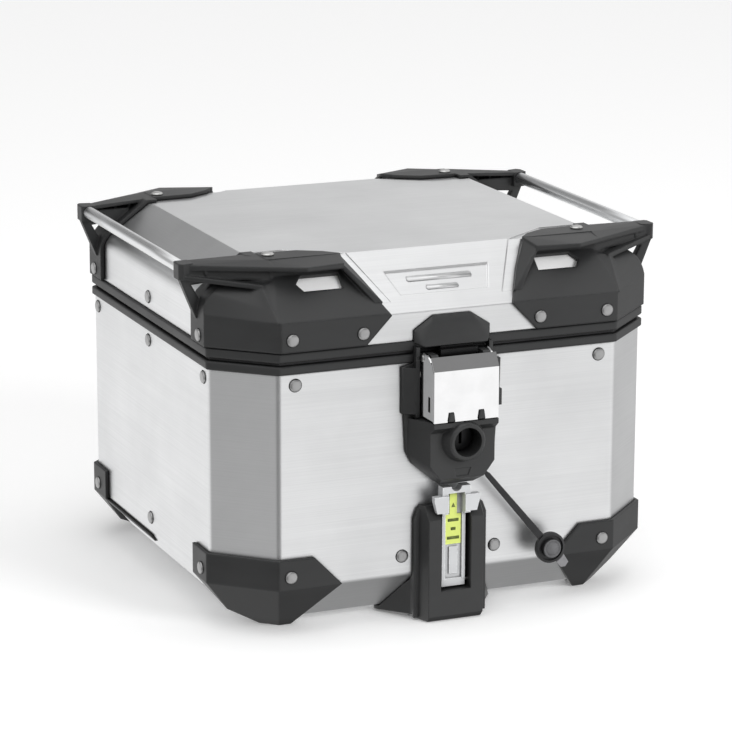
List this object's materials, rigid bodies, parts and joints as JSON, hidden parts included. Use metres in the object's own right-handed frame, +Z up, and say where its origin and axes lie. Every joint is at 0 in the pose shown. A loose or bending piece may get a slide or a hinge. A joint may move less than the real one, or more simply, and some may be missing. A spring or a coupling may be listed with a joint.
{
  "type": "motorcycle top case",
  "caption": "Hard motorcycle top case of folded aluminium sheet with moulded corners, a rear-hinged lid, a draw latch and a quick-release base.",
  "frame": {"origin": "middle of the case's overall box, on the plane it stands on", "axes": "+Z up, +X to the right seen from the lock side, lock side facing -Y, hinge side facing +Y"},
  "size_m": [0.44, 0.431, 0.3183],
  "materials": {
    "brushed_aluminium": "clear-anodised, fine brushed grain, soft folded edges",
    "hinge_aluminium": "extruded, satin",
    "plain_aluminium": "mill finish sheet",
    "black_plastic": "glass-filled nylon, fine moulded texture, dark grey-black",
    "rubber": "soft matt rubber",
    "chrome": "polished and chromed steel sheet",
    "steel": "zinc-plated steel",
    "grey_plastic": "light grey moulded plastic",
    "yellow_label": "printed vinyl label, yellow-green"
  },
  "bodies": {
    "case": {"body_shell": "brushed_aluminium", "body_rim": "black_plastic", "corner_protector_front_left": "black_plastic", "corner_protector_front_right": "black_plastic", "corner_protector_rear_left": "black_plastic", "corner_protector_rear_right": "black_plastic", "lock_housing": "black_plastic", "lock_backing_plate": "plain_aluminium", "release_base": "black_plastic", "release_pin": "steel", "hinge_body_leaf_left": "hinge_aluminium", "hinge_body_leaf_right": "hinge_aluminium", "hinge_pin_left": "steel", "hinge_pin_right": "steel", "base_plate": "black_plastic", "floor_stiffener": "plain_aluminium"},
    "lid": {"lid_shell": "brushed_aluminium", "lid_rim": "black_plastic", "lid_seal": "rubber", "lid_catch_cover": "black_plastic", "lid_striker": "steel", "bracket_front_left": "black_plastic", "bracket_front_right": "black_plastic", "bracket_rear_left": "black_plastic", "bracket_rear_right": "black_plastic", "side_tube_left": "brushed_aluminium", "side_tube_right": "brushed_aluminium", "top_screw_front_left": "steel", "top_screw_front_right": "steel", "top_screw_rear_left": "steel", "top_screw_rear_right": "steel", "hinge_lid_leaf_left": "hinge_aluminium", "hinge_lid_leaf_right": "hinge_aluminium"},
    "lever": {"latch_lever": "chrome", "lever_insert": "black_plastic", "lever_pivot_pin_left": "steel", "lever_pivot_pin_right": "steel", "hook_pin": "steel"},
    "hook": {"latch_hook": "steel"},
    "key_barrel": {"lock_cylinder": "steel"},
    "release": {"release_lever": "grey_plastic", "release_label": "yellow_label"},
    "claw": {"rack_claw": "steel"},
    "cap": {"dust_cap": "rubber", "dust_cap_strap": "rubber"}
  },
  "joints": [
    {"name": "lid_hinge", "type": "hinge", "parent": "case", "child": "lid", "pos_m": [0, 0.212, 0.2351], "axis": [-1, 0, 0], "range_deg": [0, 80]},
    {"name": "lever_pivot", "type": "hinge", "parent": "case", "child": "lever", "pos_m": [0, -0.1876, 0.2312], "axis": [-1, 0, 0], "range_deg": [0, 55]},
    {"name": "hook_pivot", "type": "hinge", "parent": "lever", "child": "hook", "pos_m": [0, -0.1805, 0.2159], "axis": [-1, 0, 0], "range_deg": [-55, 0]},
    {"name": "key_turn", "type": "hinge", "parent": "case", "child": "key_barrel", "pos_m": [0, -0.1915, 0.1627], "axis": [0, -1, 0], "range_deg": [0, 90]},
    {"name": "release_tilt", "type": "hinge", "parent": "case", "child": "release", "pos_m": [0, -0.184, 0.033], "axis": [1, 0, 0], "range_deg": [0, 30], "stiffness_Nm_per_rad": 0.3},
    {"name": "claw_slide", "type": "slide", "parent": "case", "child": "claw", "axis": [0, -1, 0], "range_m": [0, 0.006]},
    {"name": "cap_swing", "type": "hinge", "parent": "case", "child": "cap", "pos_m": [0.0245, -0.1978, 0.1297], "axis": [0, 1, 0], "range_deg": [-60, 20], "stiffness_Nm_per_rad": 0.6}
  ],
  "couplings": [
    {"joint": "hook_pivot", "follows": "lever_pivot", "ratio": -1},
    {"joint": "claw_slide", "follows": "release_tilt", "m_per_rad": 0.0114}
  ]
}
